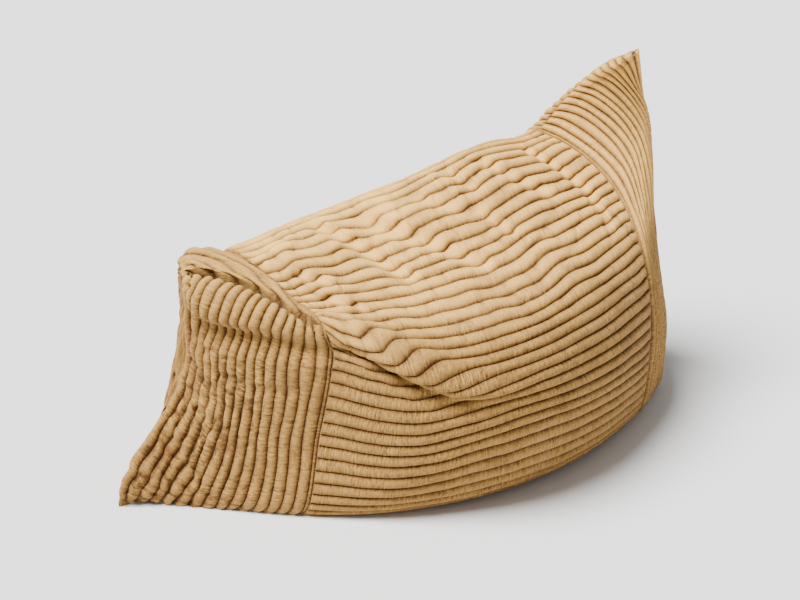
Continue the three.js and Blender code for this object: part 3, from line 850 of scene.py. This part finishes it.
class Finish:
    """A material being built: node() adds a node, sets its settings, then its sockets by name or place."""

    def __init__(self, name):
        self.material = bpy.data.materials.new(name)
        self.material.use_nodes = True
        self.tree = self.material.node_tree
        self.tree.nodes.clear()

    def node(self, kind, settings=None, sockets=None, output=0):
        """A new node of this kind, as the wrapped socket of one of its outputs if it has any."""
        node = self.tree.nodes.new(kind)
        for key, value in (settings or {}).items():
            setattr(node, key, value)
        for key, value in (sockets or {}).items():
            feed(self.tree, node.inputs[key], value)
        return Sock(self.tree, node.outputs[output]) if len(node.outputs) else None

    def held(self, value):
        """The value held between 0 and 1."""
        return self.node("ShaderNodeClamp", {}, {"Value": value})


print("shader helper ready")

# %% [markdown]
# ## The plush
# Plush is short dense pile. It looks pale where its tips catch the light on a cord's crown and deep and warm
# in the groove, and the pile lies in streaks across each cord. The colour follows the height on the cord,
# which is partly the pile's paler tips and partly painted shade in the grooves and the slot; painted light
# and the brushed pile make the upward seat and band tops paler, and a few noises add the rest. A fine bump
# gives the pile, and sheen gives the soft pale edge. Hair strands would be truer close up, but far too heavy
# for a bag this size.

# %% Plush colours
DEEP = (0.13, 0.058, 0.017, 1)
LIGHT = (0.93, 0.54, 0.145, 1)
SHEEN_TINT = (1.0, 0.78, 0.5, 1)
CROWN_POWER = 1.3
BLOTCH_SCALE, FUZZ_SCALE = 13.0, 230.0
STREAK_SCALE, PARTING_SCALE = (6.0, 26.0, 1.0), (3.0, 20.0, 1.0)
# PALE_AND_LIGHT_TONE is how far the pale share, mostly painted light on the upward tops, lightens the crowns.
FRONT_TONE, PALE_AND_LIGHT_TONE, GROOVE_TONE = 0.30, 0.80, 0.05
STREAK_TONE, BLOTCH_TONE, FUZZ_TONE, GAP_TONE = 0.65, 0.5, 0.55, 0.25
STREAK_BUMP, FUZZ_BUMP, GAP_BUMP = 0.6, 0.8, 0.7
GAP_SHARPNESS, GAP_BLOTCH, GAP_BLOTCH_FROM = 9.0, 5.0, 2.3


# %% Plush finish
def plush(name):
    """Tan plush. Its tone is the height on the cord, which paints shade into the grooves and the slot, raised
    by the pale share, which is brushed and creased pile and painted light on the upward tops, plus streaks
    across the cord, blotches and fuzz, less the gaps where the pile parts; pile is bump; sheen is the same
    all over."""
    f = Finish(name)
    crown_and_shade = f.node("ShaderNodeAttribute", {"attribute_name": "crown_and_shade"}, output="Fac")
    pale_and_painted_light = f.node("ShaderNodeAttribute", {"attribute_name": "pale_and_painted_light"}, output="Fac")
    cloth = f.node("ShaderNodeUVMap", {"uv_map": "cloth"})
    place = f.node("ShaderNodeTexCoord", output="Object")
    blotch = f.node("ShaderNodeTexNoise", {},
                    {"Vector": place, "Scale": BLOTCH_SCALE, "Detail": 3.0, "Roughness": 0.6})
    streak_at = f.node("ShaderNodeMapping", {}, {"Vector": cloth, "Scale": STREAK_SCALE})
    streak = f.node("ShaderNodeTexNoise", {},
                    {"Vector": streak_at, "Scale": 1.0, "Detail": 3.0, "Roughness": 0.65})
    parting_at = f.node("ShaderNodeMapping", {}, {"Vector": cloth, "Scale": PARTING_SCALE})
    parting = f.node("ShaderNodeTexVoronoi", {"feature": "DISTANCE_TO_EDGE"},
                     {"Vector": parting_at, "Scale": 1.0, "Randomness": 1.0})
    gap = f.held(1.0 - parting * GAP_SHARPNESS) * f.held(blotch * GAP_BLOTCH - GAP_BLOTCH_FROM)
    fuzz = f.node("ShaderNodeTexNoise", {},
                  {"Vector": place, "Scale": FUZZ_SCALE, "Detail": 4.0, "Roughness": 0.75})
    # Darker toward the grooves and in the slot is painted shade; the pale share adds brushed pile and painted
    # light on the tops.
    tone = (crown_and_shade**CROWN_POWER) * (pale_and_painted_light * PALE_AND_LIGHT_TONE + FRONT_TONE) + pale_and_painted_light * GROOVE_TONE
    tone = tone + (streak - 0.5) * STREAK_TONE + (blotch - 0.5) * BLOTCH_TONE + (fuzz - 0.5) * FUZZ_TONE
    colour = f.node("ShaderNodeMix", {"data_type": "RGBA"},
                    {"Factor": f.held(tone - gap * GAP_TONE), 6: DEEP, 7: LIGHT}, output=2)
    height = streak * STREAK_BUMP + fuzz * FUZZ_BUMP - gap * GAP_BUMP
    pile = f.node("ShaderNodeBump", {}, {"Strength": 0.7, "Distance": 0.002, "Height": height})
    shader = f.node("ShaderNodeBsdfPrincipled", {}, {
        "Base Color": colour,
        "Normal": pile,
        "Roughness": 0.92,
        "Sheen Weight": 0.22,
        "Sheen Roughness": 0.35,
        "Sheen Tint": SHEEN_TINT,
        "Specular IOR Level": 0.12,
    })
    f.node("ShaderNodeOutputMaterial", {}, {"Surface": shader})
    return f.material


finishes = {slot: plush(slot) for slot in ("band_plush", "panel_plush")}
print("finishes:", list(finishes))

# %% [markdown]
# ## The pieces take their places
# Each skin stands for one solid of the frame and rides on the bag's one body. The three could be joined
# into one mesh, but then the ends could not be given a cloth of their own. Middle and ends are of the same
# cloth here, with a finish each.

# %% Pieces in the frame
for obj, node, slot in ((middle, "middle", "panel_plush"), (left_band, "left_end", "band_plush"),
                        (right_band, "right_end", "band_plush")):
    obj.data.materials.append(finishes[slot])
    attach(obj, "root")
    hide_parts(node)
print("finished pieces:", [obj.name for obj in (left_band, middle, right_band)])

# %% [markdown]
# ## Floor, light and camera
# A product picture has a pale floor without an edge, soft light from above and a little from the left, and a
# long lens. Curved paper and several lamps near the bag would do, as in a studio. One wide plane, one broad
# far lamp and a plain pale sky give the same soft shade with less to set. The camera stands in front of the
# bag's left end, a little above it.

# %% Floor
FLOOR_SIZE = 40.0
FLOOR_COLOUR = (0.8, 0.8, 0.8, 1)
half = FLOOR_SIZE / 2
floor_mesh = bpy.data.meshes.new("floor")
floor_mesh.from_pydata([(-half, -half, 0), (half, -half, 0), (half, half, 0), (-half, half, 0)], [],
                       [(0, 1, 2, 3)])
floor = bpy.data.objects.new("floor", floor_mesh)
bpy.context.scene.collection.objects.link(floor)
floor_finish = Finish("pale_floor")
floor_shader = floor_finish.node("ShaderNodeBsdfPrincipled", {},
                                 {"Base Color": FLOOR_COLOUR, "Roughness": 0.9})
floor_finish.node("ShaderNodeOutputMaterial", {}, {"Surface": floor_shader})
floor_mesh.materials.append(floor_finish.material)
print("floor, m:", FLOOR_SIZE)

# %% Light
SKY_STRENGTH = 0.4
TOWARD_LAMP = (-0.5, 0.05, 1.0)
LAMP_WIDTH = np.radians(35.0)
LAMP_STRENGTH = 9.3

world = bpy.data.worlds.new("studio")
bpy.context.scene.world = world
world.use_nodes = True
world.node_tree.nodes["Background"].inputs["Color"].default_value = (1.0, 1.0, 1.0, 1)
world.node_tree.nodes["Background"].inputs["Strength"].default_value = SKY_STRENGTH
lamp_data = bpy.data.lights.new("key", "SUN")
lamp_data.angle = LAMP_WIDTH
lamp_data.energy = LAMP_STRENGTH
lamp = bpy.data.objects.new("key", lamp_data)
lamp.rotation_euler = Vector(TOWARD_LAMP).to_track_quat("Z", "Y").to_euler()
bpy.context.scene.collection.objects.link(lamp)
print("lamp's width, degrees:", round(float(np.degrees(lamp_data.angle)), 1))

# %% Camera
CAMERA_TURN = np.radians(-26.0)
CAMERA_RISE = np.radians(25.0)
CAMERA_FAR = 3.9
CAMERA_LENS = 91.8
SENSOR_WIDTH = 36.0
AIM = Vector((-0.0044, 0.0413, 0.290))

camera_data = bpy.data.cameras.new("camera")
camera_data.lens = CAMERA_LENS
camera_data.sensor_width = SENSOR_WIDTH
camera = bpy.data.objects.new("camera", camera_data)
level = np.cos(CAMERA_RISE)
toward = Vector((np.sin(CAMERA_TURN) * level, -np.cos(CAMERA_TURN) * level, np.sin(CAMERA_RISE)))
camera.location = AIM + toward * CAMERA_FAR
camera.rotation_euler = (-toward).to_track_quat("-Z", "Y").to_euler()
bpy.context.scene.collection.objects.link(camera)
bpy.context.scene.camera = camera
print("camera at", [round(c, 3) for c in camera.location])
